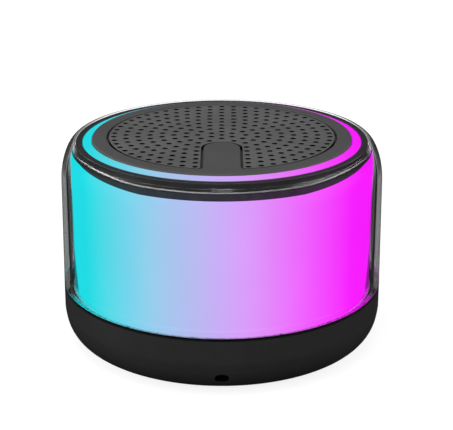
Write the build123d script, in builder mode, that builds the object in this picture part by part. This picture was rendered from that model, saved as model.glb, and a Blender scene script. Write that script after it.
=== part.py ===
from build123d import *
import os
from math import cos, hypot, radians, sin

# Portable round speaker with a clear outer cover, a milky light tube and a perforated top.
# Millimetres. +Z up, origin at the centre of the footprint, front towards -Y, controls towards +Y.

os.makedirs("parts", exist_ok=True)

# ---------------------------------------------------------------- driving dimensions
outer_r = 42.5            # radius of the base and of the clear cover at their joint
foot_proud = 0.5          # the rubber foot stands this far below the base
base_flat_r = 33.86       # flat underside of the base
base_curve_top = 10.85    # the side of the base is vertical from here up
joint_z = 15.66           # top rim of the base
gasket_h = 0.3            # seal between the base and the clear cover
shoulder_z = 44.74        # the clear cover starts to curve in here
shoulder_r = 42.25
lip_r = 38.28
lip_z = 54.86
top_z = 55.5              # flat of the top frame

wall_in_r = 40.2          # inside of the base wall
floor_z = 3.0             # inside floor of the base
rebate_r = 41.25          # step in the rim that takes the cover's spigot
rebate_z = 14.0

foot_in_r, foot_out_r = 25.5, 32.5
foot_recess = 0.7
case_screw_r = 29.0       # pitch radius of the four case screws
case_screw_angles = (45, 135, 225, 315)
board_screw_x = 34.0

board_z0, board_z1 = 8.4, 9.6
board_r = 38.4
panel_z = 11.2            # height of the row of buttons and ports
usb_angle = 101.0
card_angle = 78.5
card_z = 10.55
button_angles = {"power": 129.0, "light": 116.5, "minus": 62.0, "plus": 49.5}
button_w, button_h = 6.4, 3.2
button_gap = 0.15

mic_z = 4.95              # microphone opening, low at the front
mic_w, mic_h = 3.55, 2.7

plate_z0, plate_z1 = 13.2, 14.9
plate_r = 40.1
housing_r, housing_wall = 31.0, 2.0
baffle_z0, baffle_z1 = 46.8, 48.8
baffle_r = 34.05
driver_hole_r = 22.0
chassis_screw_r = 26.2
chassis_screw_angles = (30, 150, 270)
driver_screw_r = 24.3
driver_screw_angles = (45, 135, 225, 315)

cover_in_r = 41.0         # inside of the clear wall above its thicker foot
tube_r, tube_in_r = 39.7, 38.0     # glowing tube
tube_top = 50.45
tube_cone_r, tube_cone_z = 38.75, 51.85    # the tube narrows under the clear shoulder

frame_out_r, frame_in_r = 34.1, 30.15
frame_z0 = 53.6
ledge_z = 54.2
tab_w = 4.62              # half width of the tongue that crosses the grille
tab_y = -11.57            # centre of its round end
groove = 0.64
grille_r = 29.52
grille_z0, grille_z1 = 54.25, 55.42
hole_r = 0.78
hole_pitch = 3.14
hole_rings = 9


def superellipse(a_deg, r0, dr, z0, dz, p):
    """Point of a superelliptic corner: a = 0 is the outermost point, 90 the end on z0 + dz."""
    c, s = cos(radians(a_deg)), sin(radians(a_deg))
    return (r0 + dr * c**p, z0 + dz * s**p)


def radial_plane(angle, r, z):
    """Plane facing outwards at this angle, radius and height; local y is up."""
    c, s = cos(radians(angle)), sin(radians(angle))
    return Plane(origin=(r * c, r * s, z), x_dir=(-s, c, 0), z_dir=(c, s, 0))


base_outer = [superellipse(a, base_flat_r, outer_r - base_flat_r, base_curve_top, foot_proud - base_curve_top, 0.835)
              for a in (90, 80, 70, 60, 50, 40, 30, 20, 10)] + [(outer_r, base_curve_top)]
base_inner = [superellipse(a, 31.5, wall_in_r - 31.5, 11.2, floor_z - 11.2, 0.835)
              for a in (90, 75, 60, 45, 30, 15)] + [(wall_in_r, 11.2)]

case_screw_points = [(case_screw_r * cos(radians(a)), case_screw_r * sin(radians(a))) for a in case_screw_angles]
chassis_screw_points = [(chassis_screw_r * cos(radians(a)), chassis_screw_r * sin(radians(a))) for a in chassis_screw_angles]
driver_screw_points = [(driver_screw_r * cos(radians(a)), driver_screw_r * sin(radians(a))) for a in driver_screw_angles]

# ---------------------------------------------------------------- base
with BuildPart() as foot_pad:
    with BuildSketch():
        Circle(foot_out_r)
        Circle(foot_in_r, mode=Mode.SUBTRACT)
    extrude(amount=foot_proud + foot_recess)
    fillet(foot_pad.edges().group_by(Axis.Z)[0], 0.3)
    # two shallow tread grooves
    with BuildSketch():
        Circle(31.0)
        Circle(30.3, mode=Mode.SUBTRACT)
        Circle(27.7)
        Circle(27.0, mode=Mode.SUBTRACT)
    extrude(amount=0.25, mode=Mode.SUBTRACT)
foot_pad.part.label = "foot_pad"
export_step(foot_pad.part, "parts/foot_pad.step")

with BuildPart() as base_shell:
    with BuildSketch(Plane.XZ):
        with BuildLine():
            Polyline((0, floor_z), (0, foot_proud), base_outer[0])
            Spline(base_outer, tangents=[(1, 0), (0, 1)])
            Polyline(base_outer[-1], (outer_r, joint_z - 0.2), (outer_r - 0.2, joint_z), (rebate_r, joint_z),
                     (rebate_r, rebate_z), (wall_in_r, rebate_z), base_inner[-1])
            Spline(base_inner, tangents=[(1, 0), (0, 1)])
            Line(base_inner[0], (0, floor_z))
        make_face()
    revolve(axis=Axis.Z)
    # bosses for the case screws and stand-offs for the board
    with BuildSketch(Plane.XY.offset(floor_z - 0.3)):
        with Locations(*case_screw_points):
            Circle(3.5)
        with Locations((board_screw_x, 0), (-board_screw_x, 0)):
            Circle(2.4)
    extrude(amount=board_z0 - floor_z + 0.3)
    # low walls that hold the battery
    with BuildSketch(Plane.XY.offset(floor_z - 0.3)):
        with Locations((0, 16.2), (0, -16.2)):
            Rectangle(24, 1.2)
    extrude(amount=3.3)
    # recess for the foot
    with BuildSketch(Plane.XY.offset(foot_proud - 0.5)):
        Circle(foot_out_r + 0.15)
        Circle(foot_in_r - 0.15, mode=Mode.SUBTRACT)
    extrude(amount=foot_recess + 0.5, mode=Mode.SUBTRACT)
    # counterbores and clearance holes of the case screws
    with BuildSketch(Plane.XY.offset(foot_proud)):
        with Locations(*case_screw_points):
            Circle(2.4)
    extrude(amount=2.6 - foot_proud, mode=Mode.SUBTRACT)
    with BuildSketch(Plane.XY.offset(2.5)):
        with Locations(*case_screw_points):
            Circle(1.3)
    extrude(amount=6.5, mode=Mode.SUBTRACT)
    with BuildSketch(Plane.XY.offset(4.4)):
        with Locations((board_screw_x, 0), (-board_screw_x, 0)):
            Circle(0.8)
    extrude(amount=6, mode=Mode.SUBTRACT)
    # USB-C opening with a shallow dish around it
    with BuildSketch(radial_plane(usb_angle, 38.5, panel_z)):
        SlotOverall(9.4, 3.7)
    extrude(amount=6, mode=Mode.SUBTRACT)
    with BuildSketch(radial_plane(usb_angle, 41.9, panel_z)):
        SlotOverall(10.6, 4.9)
    extrude(amount=3, mode=Mode.SUBTRACT)
    # memory card opening
    with BuildSketch(radial_plane(card_angle, 38.5, card_z)):
        RectangleRounded(12.4, 2.0, 0.6)
    extrude(amount=6, mode=Mode.SUBTRACT)
    with BuildSketch(radial_plane(card_angle, 41.9, card_z)):
        RectangleRounded(13.8, 3.4, 1.2)
    extrude(amount=3, mode=Mode.SUBTRACT)
    # button openings
    for angle in button_angles.values():
        with BuildSketch(radial_plane(angle, 38.5, panel_z)):
            SlotOverall(button_w + 2 * button_gap, button_h + 2 * button_gap)
        extrude(amount=6, mode=Mode.SUBTRACT)
    # microphone pocket from the inside and its opening at the front
    with BuildSketch(radial_plane(270, 34.0, mic_z)):
        Rectangle(4.7, 3.6)
    extrude(amount=5.0, mode=Mode.SUBTRACT)
    with BuildSketch(radial_plane(270, 38.5, mic_z)):
        RectangleRounded(mic_w, mic_h, 1.25)
    extrude(amount=6, mode=Mode.SUBTRACT)
base_shell.part.label = "base_shell"
export_step(base_shell.part, "parts/base_shell.step")

with BuildPart() as base_screws:
    with BuildSketch(Plane.XY.offset(1.3)):
        with Locations(*case_screw_points):
            Circle(2.2)
    extrude(amount=1.3)
    fillet(base_screws.edges().group_by(Axis.Z)[0], 0.3)
    with BuildSketch(Plane.XY.offset(2.6)):
        with Locations(*case_screw_points):
            Circle(1.1)
    extrude(amount=10.8)
    chamfer(base_screws.edges().group_by(Axis.Z)[-1], 0.4)
    with BuildSketch(Plane.XY.offset(1.3)):
        with Locations(*case_screw_points):
            Rectangle(2.2, 0.45)
            Rectangle(0.45, 2.2)
    extrude(amount=0.8, mode=Mode.SUBTRACT)
base_screws.part.label = "base_screws"
export_step(base_screws.part, "parts/base_screws.step")

# ---------------------------------------------------------------- outer cover and light
with BuildPart() as cover_gasket:
    with BuildSketch(Plane.XY.offset(joint_z)):
        Circle(outer_r - 0.2)
        Circle(rebate_r + 0.02, mode=Mode.SUBTRACT)
    extrude(amount=gasket_h)
cover_gasket.part.label = "cover_gasket"
export_step(cover_gasket.part, "parts/cover_gasket.step")

cover_z0 = joint_z + gasket_h
shoulder = [(shoulder_r, shoulder_z)] + [superellipse(a, lip_r, shoulder_r - lip_r, shoulder_z, lip_z - shoulder_z, 1.125)
                                         for a in (10, 20, 30, 40, 50, 60, 70, 76)] + [(38.86, 54.68)]
with BuildPart() as clear_cover:
    with BuildSketch(Plane.XZ):
        with BuildLine():
            Polyline((cover_in_r, 43.0), (cover_in_r, 17.6), (40.3, 17.0), (40.3, 14.2), (41.1, 14.2),
                     (41.1, cover_z0), (outer_r - 0.25, cover_z0), (outer_r - 0.02, cover_z0 + 0.23),
                     (shoulder_r, shoulder_z))
            Spline(shoulder, tangents=[(-0.0087, 1), (-1, 0.14)])
            ThreePointArc((38.86, 54.68), (38.55, 54.7), (38.4, 54.45))
            Line((38.4, 54.45), (38.43, 53.5))
            Spline([(38.43, 53.5), (39.24, 52.44), (40.04, 50.64), (40.65, 48.34), (40.93, 45.6), (cover_in_r, 43.0)],
                   tangents=[(0.8, -0.6), (0, -1)])
        make_face()
    revolve(axis=Axis.Z)
clear_cover.part.label = "clear_cover"
export_step(clear_cover.part, "parts/clear_cover.step")

# milky tube with a shoulder and a neck; its sloping top is the light ring around the top frame
with BuildPart() as light_diffuser:
    with BuildSketch(Plane.XZ):
        with BuildLine():
            Polyline((tube_in_r, plate_z1), (tube_r, plate_z1), (tube_r, tube_top - 0.15), (tube_cone_r, tube_cone_z),
                     (36.35, tube_cone_z), (36.35, 54.35),
                     (36.2, 54.5), (34.4, 55.24), (34.28, 55.1), (34.28, tube_top - 1.4), (tube_in_r, tube_top - 1.4),
                     close=True)
        make_face()
    revolve(axis=Axis.Z)
light_diffuser.part.label = "light_diffuser"
export_step(light_diffuser.part, "parts/light_diffuser.step")

with BuildPart() as trim_ring:
    with BuildSketch(Plane.XZ):
        with BuildLine():
            Polyline((38.3, 53.1), (38.9, 52.05), (38.9, 51.9), (36.45, 51.9), (36.45, 54.35), (36.65, 54.6),
                     (37.75, 54.6))
            ThreePointArc((37.75, 54.6), (38.08, 54.46), (38.2, 54.12))
            Line((38.2, 54.12), (38.3, 53.1))
        make_face()
    revolve(axis=Axis.Z)
trim_ring.part.label = "trim_ring"
export_step(trim_ring.part, "parts/trim_ring.step")

# ---------------------------------------------------------------- top frame and grille
with BuildPart() as top_frame:
    # snap skirt, ledge and ring
    with BuildSketch(Plane.XZ):
        with BuildLine():
            Polyline((32.5, baffle_z1), (frame_out_r - 0.1, baffle_z1), (frame_out_r, frame_z0), (frame_out_r, 54.7))
            ThreePointArc((frame_out_r, 54.7), (frame_out_r - 0.25, 55.27), (frame_out_r - 0.85, top_z))
            Polyline((frame_out_r - 0.85, top_z), (32.0, top_z), (32.0, frame_z0), (32.5, frame_z0), (32.5, baffle_z1))
        make_face()
    revolve(axis=Axis.Z)
    with BuildSketch(Plane.XY.offset(frame_z0)):
        Circle(32.5)
        Circle(frame_in_r, mode=Mode.SUBTRACT)
        with Locations((0, tab_y)):
            Circle(tab_w)
            Rectangle(2 * tab_w, 19.5, align=(Align.CENTER, Align.MAX))
    extrude(amount=top_z - frame_z0)
    # round the two inner corners where the tongue leaves the ring
    inner_corners = [e for e in top_frame.edges().filter_by(Axis.Z)
                     if abs(abs(e.center().X) - tab_w) < 0.2 and abs(e.center().Y + hypot(frame_in_r, 0)) < 1.2]
    fillet(inner_corners, 1.35)
    groove_edges = [e for e in top_frame.edges().group_by(Axis.Z)[-1]
                    if hypot(e.center().X, e.center().Y) < 31.5 and e.length > 0.3]
    chamfer(groove_edges, 0.16)
    # ledge that carries the grille
    with BuildSketch(Plane.XY.offset(frame_z0)):
        Circle(frame_in_r + 0.5)
        Circle(29.05, mode=Mode.SUBTRACT)
        with Locations((0, tab_y)):
            Circle(tab_w + 1.0)
            Rectangle(2 * (tab_w + 1.0), 18.3, align=(Align.CENTER, Align.MAX))
    extrude(amount=ledge_z - frame_z0)
top_frame.part.label = "top_frame"
export_step(top_frame.part, "parts/top_frame.step")

hole_points = []
for ring in range(hole_rings + 1):
    count = max(1, 6 * ring)
    for i in range(count):
        a = radians(90 + 360 * i / count)
        x, y = ring * hole_pitch * cos(a), ring * hole_pitch * sin(a)
        to_tab = abs(x) if y < tab_y else hypot(x, y - tab_y)
        if to_tab > 6.3:
            hole_points.append((x, y))

with BuildPart() as grille:
    with BuildSketch(Plane.XY.offset(grille_z0)):
        Circle(grille_r)
        with Locations((0, tab_y)):
            Circle(tab_w + groove, mode=Mode.SUBTRACT)
            Rectangle(2 * (tab_w + groove), 22, align=(Align.CENTER, Align.MAX), mode=Mode.SUBTRACT)
    extrude(amount=grille_z1 - grille_z0)
    outer_corners = [e for e in grille.edges().filter_by(Axis.Z)
                     if abs(abs(e.center().X) - tab_w - groove) < 0.1 and e.center().Y < -28]
    fillet(outer_corners, 0.8)
    chamfer(grille.edges().group_by(Axis.Z)[-1], 0.15)
    with BuildSketch(Plane.XY.offset(grille_z0 - 0.1)):
        with Locations(*hole_points):
            Circle(hole_r)
    extrude(amount=2, mode=Mode.SUBTRACT)
grille.part.label = "grille"
export_step(grille.part, "parts/grille.step")

with BuildPart() as dust_cloth:
    with BuildSketch(Plane.XY.offset(53.3)):
        Circle(31.6)
    extrude(amount=0.28)
dust_cloth.part.label = "dust_cloth"
export_step(dust_cloth.part, "parts/dust_cloth.step")

# ---------------------------------------------------------------- sound chamber and chassis
with BuildPart() as speaker_housing:
    with BuildSketch(Plane.XZ):
        with BuildLine():
            Polyline((housing_r - housing_wall, plate_z1), (housing_r, plate_z1), (housing_r, baffle_z0 - 0.6),
                     (housing_r + 0.6, baffle_z0), (baffle_r, baffle_z0), (baffle_r, baffle_z1),
                     (driver_hole_r, baffle_z1), (driver_hole_r, baffle_z0), (housing_r - housing_wall, baffle_z0),
                     close=True)
        make_face()
    revolve(axis=Axis.Z)
    with BuildSketch(Plane.XY.offset(plate_z1)):
        with Locations(*chassis_screw_points):
            Circle(3.0)
    extrude(amount=8.5)
    with BuildSketch(Plane.XY.offset(41.5)):
        with Locations(*driver_screw_points):
            Circle(2.2)
    extrude(amount=baffle_z0 - 41.5 + 0.2)
    with BuildSketch(Plane.XY.offset(plate_z1 - 0.5)):
        with Locations(*chassis_screw_points):
            Circle(0.95)
    extrude(amount=8.0, mode=Mode.SUBTRACT)
    with BuildSketch(Plane.XY.offset(42.3)):
        with Locations(*driver_screw_points):
            Circle(0.75)
    extrude(amount=8.0, mode=Mode.SUBTRACT)
speaker_housing.part.label = "speaker_housing"
export_step(speaker_housing.part, "parts/speaker_housing.step")

driver_wire_hole = (-12.0, -14.5)
strip_wire_hole = (34.9 * cos(radians(207)), 34.9 * sin(radians(207)))
with BuildPart() as chassis_plate:
    with BuildSketch(Plane.XY.offset(plate_z0)):
        Circle(plate_r)
    extrude(amount=plate_z1 - plate_z0)
    # locating rings for the chamber and for the tube
    with BuildSketch(Plane.XY.offset(plate_z1 - 0.2)):
        Circle(32.6)
        Circle(31.15, mode=Mode.SUBTRACT)
        Circle(37.85)
        Circle(36.6, mode=Mode.SUBTRACT)
        Circle(32.6, mode=Mode.ADD)
        Circle(31.15, mode=Mode.SUBTRACT)
    extrude(amount=2.0)
    with BuildSketch(Plane.XY.offset(board_z1)):
        with Locations(*case_screw_points):
            Circle(3.0)
    extrude(amount=plate_z0 - board_z1 + 0.2)
    with BuildSketch(Plane.XY.offset(board_z1 - 0.5)):
        with Locations(*case_screw_points):
            Circle(0.95)
    extrude(amount=5.0, mode=Mode.SUBTRACT)
    with BuildSketch(Plane.XY.offset(plate_z0 - 0.5)):
        with Locations(*chassis_screw_points):
            Circle(1.25)
        with Locations(driver_wire_hole):
            Circle(2.2)
        with Locations(strip_wire_hole):
            Circle(1.5)
    extrude(amount=5.0, mode=Mode.SUBTRACT)
chassis_plate.part.label = "chassis_plate"
export_step(chassis_plate.part, "parts/chassis_plate.step")

with BuildPart() as chassis_screws:
    with BuildSketch(Plane.XY.offset(plate_z0 - 1.2)):
        with Locations(*chassis_screw_points):
            Circle(2.0)
    extrude(amount=1.2)
    fillet(chassis_screws.edges().group_by(Axis.Z)[0], 0.3)
    with BuildSketch(Plane.XY.offset(plate_z0)):
        with Locations(*chassis_screw_points):
            Circle(1.05)
    extrude(amount=7.5)
    chamfer(chassis_screws.edges().group_by(Axis.Z)[-1], 0.4)
    with BuildSketch(Plane.XY.offset(plate_z0 - 1.2)):
        with Locations(*chassis_screw_points):
            Rectangle(2.0, 0.4)
            Rectangle(0.4, 2.0)
    extrude(amount=0.7, mode=Mode.SUBTRACT)
chassis_screws.part.label = "chassis_screws"
export_step(chassis_screws.part, "parts/chassis_screws.step")

# ---------------------------------------------------------------- light strip
with BuildPart() as led_strip:
    with BuildSketch(Plane.XZ):
        with Locations((housing_r + 0.15, 31.0)):
            Rectangle(0.2, 10.0)
    revolve(axis=Axis.Z, revolution_arc=354)
led_strip.part.label = "led_strip"
export_step(led_strip.part, "parts/led_strip.step")

with BuildPart() as strip_leds:
    for i in range(18):
        with BuildSketch(radial_plane(10 + 20 * i, housing_r + 0.27, 31.0)):
            RectangleRounded(5.0, 5.0, 0.3)
        extrude(amount=1.5)
strip_leds.part.label = "strip_leds"
export_step(strip_leds.part, "parts/strip_leds.step")

# ---------------------------------------------------------------- driver
with BuildPart() as driver_gasket:
    with BuildSketch(Plane.XY.offset(baffle_z1)):
        Circle(25.9)
        Circle(22.3, mode=Mode.SUBTRACT)
        with Locations(*driver_screw_points):
            Circle(1.0, mode=Mode.SUBTRACT)
    extrude(amount=0.5)
driver_gasket.part.label = "driver_gasket"
export_step(driver_gasket.part, "parts/driver_gasket.step")

with BuildPart() as driver_basket:
    with BuildSketch(Plane.XZ):
        with BuildLine():
            Polyline((26.0, 50.1), (20.9, 50.1), (17.4, 43.4), (15.2, 43.4), (15.2, 41.0), (8.6, 41.0), (8.6, 40.2),
                     (16.0, 40.2), (16.0, 42.6), (17.9, 42.6), (21.6, 49.3), (26.0, 49.3), close=True)
        make_face()
    revolve(axis=Axis.Z)
    # windows in the cone of the basket
    with BuildSketch(Plane.XY.offset(43.9)):
        with PolarLocations(19.5, 4, start_angle=0):
            Rectangle(9.0, 13.0)
    extrude(amount=4.6, mode=Mode.SUBTRACT)
    with BuildSketch(Plane.XY.offset(49.0)):
        with Locations(*driver_screw_points):
            Circle(1.0)
    extrude(amount=2.0, mode=Mode.SUBTRACT)
driver_basket.part.label = "driver_basket"
export_step(driver_basket.part, "parts/driver_basket.step")

with BuildPart() as driver_surround:
    with BuildSketch(Plane.XZ):
        with BuildLine():
            Polyline((22.4, 50.1), (22.4, 50.5), (21.2, 50.5))
            ThreePointArc((21.2, 50.5), (19.8, 51.9), (18.4, 50.5))
            Polyline((18.4, 50.5), (17.2, 50.5), (17.2, 50.12), (18.65, 50.12))
            ThreePointArc((18.65, 50.12), (19.8, 51.5), (20.95, 50.12))
            Polyline((20.95, 50.12), (20.95, 50.1), (22.4, 50.1))
        make_face()
    revolve(axis=Axis.Z)
driver_surround.part.label = "driver_surround"
export_step(driver_surround.part, "parts/driver_surround.step")

with BuildPart() as driver_cone:
    with BuildSketch(Plane.XZ):
        with BuildLine():
            Line((18.4, 49.55), (18.4, 50.1))
            Line((18.4, 50.1), (17.0, 50.1))
            ThreePointArc((17.0, 50.1), (12.0, 47.15), (7.35, 45.0))
            Polyline((7.35, 45.0), (6.95, 45.0), (6.95, 44.2), (7.3, 44.2))
            ThreePointArc((7.3, 44.2), (12.3, 46.75), (17.3, 49.55))
            Line((17.3, 49.55), (18.4, 49.55))
        make_face()
    revolve(axis=Axis.Z)
driver_cone.part.label = "driver_cone"
export_step(driver_cone.part, "parts/driver_cone.step")

with BuildPart() as dust_cap:
    with BuildSketch(Plane.XZ):
        with BuildLine():
            cap_top = CenterArc((0, 31.93), 16.12, 58.8, 31.2)
            cap_low = CenterArc((0, 32.06), 15.59, 59.55, 30.45)
            Line(cap_top @ 1, cap_low @ 1)
            Line(cap_top @ 0, cap_low @ 0)
        make_face()
    revolve(axis=Axis.Z)
dust_cap.part.label = "dust_cap"
export_step(dust_cap.part, "parts/dust_cap.step")

with BuildPart() as coil_former:
    with BuildSketch(Plane.XY.offset(37.6)):
        Circle(6.95)
        Circle(6.6, mode=Mode.SUBTRACT)
    extrude(amount=7.4)
coil_former.part.label = "coil_former"
export_step(coil_former.part, "parts/coil_former.step")

with BuildPart() as voice_coil:
    with BuildSketch(Plane.XY.offset(37.9)):
        Circle(7.25)
        Circle(6.95, mode=Mode.SUBTRACT)
    extrude(amount=3.7)
voice_coil.part.label = "voice_coil"
export_step(voice_coil.part, "parts/voice_coil.step")

with BuildPart() as driver_spider:
    wave = [(8.2 + 0.9 * i, 43.55 + (0.28 if i % 2 else -0.0)) for i in range(9)]
    with BuildSketch(Plane.XZ):
        with BuildLine():
            Polyline((wave[0][0], wave[0][1] + 0.3), (6.95, 43.85), (6.95, 43.55), (wave[0][0], wave[0][1]))
            Polyline(*wave)
            Polyline(wave[-1], (15.5, 43.42), (17.2, 43.42), (17.2, 43.72), (15.6, 43.72),
                     (wave[-1][0], wave[-1][1] + 0.3))
            Polyline(*[(r, z + 0.3) for r, z in reversed(wave)])
        make_face()
    revolve(axis=Axis.Z)
driver_spider.part.label = "driver_spider"
export_step(driver_spider.part, "parts/driver_spider.step")

with BuildPart() as magnet_top_plate:
    with BuildSketch(Plane.XY.offset(37.2)):
        Circle(15.0)
        Circle(7.55, mode=Mode.SUBTRACT)
    extrude(amount=3.0)
magnet_top_plate.part.label = "magnet_top_plate"
export_step(magnet_top_plate.part, "parts/magnet_top_plate.step")

with BuildPart() as driver_magnet:
    with BuildSketch(Plane.XY.offset(30.2)):
        Circle(16.5)
        Circle(9.0, mode=Mode.SUBTRACT)
    extrude(amount=7.0)
    chamfer(driver_magnet.edges().filter_by(GeomType.CIRCLE).sort_by(SortBy.RADIUS)[-2:], 0.6)
driver_magnet.part.label = "driver_magnet"
export_step(driver_magnet.part, "parts/driver_magnet.step")

with BuildPart() as magnet_yoke:
    with BuildSketch(Plane.XY.offset(27.2)):
        Circle(15.0)
    extrude(amount=3.0)
    with BuildSketch(Plane.XY.offset(30.2)):
        Circle(6.3)
    extrude(amount=10.0)
    chamfer(magnet_yoke.edges().group_by(Axis.Z)[0], 0.5)
magnet_yoke.part.label = "magnet_yoke"
export_step(magnet_yoke.part, "parts/magnet_yoke.step")

terminal_angle = 200
with BuildPart() as driver_terminals:
    with BuildSketch(radial_plane(terminal_angle, 20.05, 44.7)):
        Rectangle(8.0, 3.2)
    extrude(amount=0.8)
    for side in (-2.4, 2.4):
        with BuildSketch(radial_plane(terminal_angle, 20.85, 43.6)):
            with Locations((side, 0)):
                Rectangle(1.6, 3.4)
        extrude(amount=0.3)
driver_terminals.part.label = "driver_terminals"
export_step(driver_terminals.part, "parts/driver_terminals.step")

with BuildPart() as driver_screws:
    with BuildSketch(Plane.XY.offset(50.1)):
        with Locations(*driver_screw_points):
            Circle(1.7)
    extrude(amount=1.0)
    fillet(driver_screws.edges().group_by(Axis.Z)[-1], 0.3)
    with BuildSketch(Plane.XY.offset(50.1)):
        with Locations(*driver_screw_points):
            Circle(0.85)
    extrude(amount=-7.0)
    with BuildSketch(Plane.XY.offset(51.1)):
        with Locations(*driver_screw_points):
            Rectangle(1.8, 0.35)
            Rectangle(0.35, 1.8)
    extrude(amount=-0.6, mode=Mode.SUBTRACT)
driver_screws.part.label = "driver_screws"
export_step(driver_screws.part, "parts/driver_screws.step")

# ---------------------------------------------------------------- electronics
with BuildPart() as main_board:
    with BuildSketch(Plane.XY.offset(board_z0)):
        Circle(board_r)
        with Locations(*case_screw_points):
            Circle(1.4, mode=Mode.SUBTRACT)
        with Locations((board_screw_x, 0), (-board_screw_x, 0)):
            Circle(1.1, mode=Mode.SUBTRACT)
        with Locations((23.6, -4.0)):
            Circle(1.8, mode=Mode.SUBTRACT)
    extrude(amount=board_z1 - board_z0)
main_board.part.label = "main_board"
export_step(main_board.part, "parts/main_board.step")

with BuildPart() as bluetooth_chip:
    with BuildSketch(Plane.XY.offset(board_z1 + 0.1)):
        with Locations((-4.0, 4.0)):
            Rectangle(10.0, 4.0)
    extrude(amount=1.5)
    chamfer(bluetooth_chip.edges().group_by(Axis.Z)[-1], 0.2)
    with BuildSketch(Plane.XY.offset(board_z1)):
        for side in (-1, 1):
            with Locations((-4.0, 4.0 + side * 2.5)):
                with GridLocations(1.27, 1, 8, 1):
                    Rectangle(0.4, 1.0)
        with Locations((-4.0, 4.0)):
            Rectangle(9.6, 4.0)
    extrude(amount=0.15)
bluetooth_chip.part.label = "bluetooth_chip"
export_step(bluetooth_chip.part, "parts/bluetooth_chip.step")

with BuildPart() as amplifier_chip:
    with BuildSketch(Plane.XY.offset(board_z1 + 0.1)):
        with Locations((9.0, -6.0)):
            Rectangle(4.9, 3.9)
    extrude(amount=1.5)
    chamfer(amplifier_chip.edges().group_by(Axis.Z)[-1], 0.2)
    with BuildSketch(Plane.XY.offset(board_z1)):
        for side in (-1, 1):
            with Locations((9.0, -6.0 + side * 2.4)):
                with GridLocations(1.27, 1, 4, 1):
                    Rectangle(0.4, 1.0)
        with Locations((9.0, -6.0)):
            Rectangle(4.6, 3.9)
    extrude(amount=0.15)
amplifier_chip.part.label = "amplifier_chip"
export_step(amplifier_chip.part, "parts/amplifier_chip.step")

with BuildPart() as charger_chip:
    with BuildSketch(Plane.XY.offset(board_z1)):
        with Locations((13.0, 12.0)):
            RectangleRounded(3.0, 3.0, 0.2)
    extrude(amount=1.1)
charger_chip.part.label = "charger_chip"
export_step(charger_chip.part, "parts/charger_chip.step")

with BuildPart() as board_crystal:
    with BuildSketch(Plane.XY.offset(board_z1)):
        with Locations((-13.5, 4.0)):
            RectangleRounded(3.2, 2.5, 0.5)
    extrude(amount=0.8)
board_crystal.part.label = "board_crystal"
export_step(board_crystal.part, "parts/board_crystal.step")

with BuildPart() as board_inductors:
    with BuildSketch(Plane.XY.offset(board_z1)):
        with Locations((15.0, -12.0), (8.0, -16.0)):
            RectangleRounded(5.0, 5.0, 1.0)
    extrude(amount=2.6)
board_inductors.part.label = "board_inductors"
export_step(board_inductors.part, "parts/board_inductors.step")

with BuildPart() as board_capacitors:
    with BuildSketch(Plane.XY.offset(board_z1)):
        with Locations((17.5, 2.0), (17.5, 7.5)):
            Circle(2.0)
    extrude(amount=3.1)
    with BuildSketch(Plane.XY.offset(board_z1)):
        with Locations((-12.0, -2.0), (-9.0, -2.0), (-6.0, -2.0), (-3.0, -4.0), (2.0, 10.5), (5.0, 10.5), (3.0, -8.0),
                       (3.0, -11.0)):
            Rectangle(1.6, 0.8)
    extrude(amount=0.8)
board_capacitors.part.label = "board_capacitors"
export_step(board_capacitors.part, "parts/board_capacitors.step")

# USB-C inlet: steel shell, closed at the back, with the tongue and its block inside
usb_len = 7.3
usb_front_r = 41.0
with BuildPart() as usb_c_shell:
    with BuildSketch(radial_plane(usb_angle, usb_front_r - usb_len, panel_z)):
        RectangleRounded(8.94, 3.2, 1.45)
    extrude(amount=usb_len)
    with BuildSketch(radial_plane(usb_angle, usb_front_r - usb_len + 0.3, panel_z)):
        RectangleRounded(8.4, 2.66, 1.2)
    extrude(amount=usb_len, mode=Mode.SUBTRACT)
usb_c_shell.part.label = "usb_c_shell"
export_step(usb_c_shell.part, "parts/usb_c_shell.step")

with BuildPart() as usb_c_core:
    with BuildSketch(radial_plane(usb_angle, usb_front_r - usb_len + 0.3, panel_z)):
        RectangleRounded(8.36, 2.62, 1.15)
    extrude(amount=2.0)
    with BuildSketch(radial_plane(usb_angle, usb_front_r - usb_len + 2.0, panel_z)):
        RectangleRounded(6.7, 0.7, 0.2)
    extrude(amount=4.8)
usb_c_core.part.label = "usb_c_core"
export_step(usb_c_core.part, "parts/usb_c_core.step")

card_len = 14.6
card_front_r = 39.3
with BuildPart() as card_socket:
    with BuildSketch(radial_plane(card_angle, card_front_r - card_len, board_z1 + 0.95)):
        Rectangle(13.6, 1.9)
    extrude(amount=card_len)
    with BuildSketch(radial_plane(card_angle, card_front_r - 12.5, board_z1 + 1.0)):
        Rectangle(11.3, 1.1)
    extrude(amount=13, mode=Mode.SUBTRACT)
card_socket.part.label = "card_socket"
export_step(card_socket.part, "parts/card_socket.step")

with BuildPart() as button_switches:
    for angle in button_angles.values():
        with BuildSketch(radial_plane(angle, 34.8, board_z1 + 1.65)):
            Rectangle(5.4, 3.3)
        extrude(amount=3.4)
    for angle in button_angles.values():
        with BuildSketch(radial_plane(angle, 36.8, panel_z)):
            Rectangle(2.8, 1.9)
        extrude(amount=3.0, mode=Mode.SUBTRACT)
button_switches.part.label = "button_switches"
export_step(button_switches.part, "parts/button_switches.step")

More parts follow.
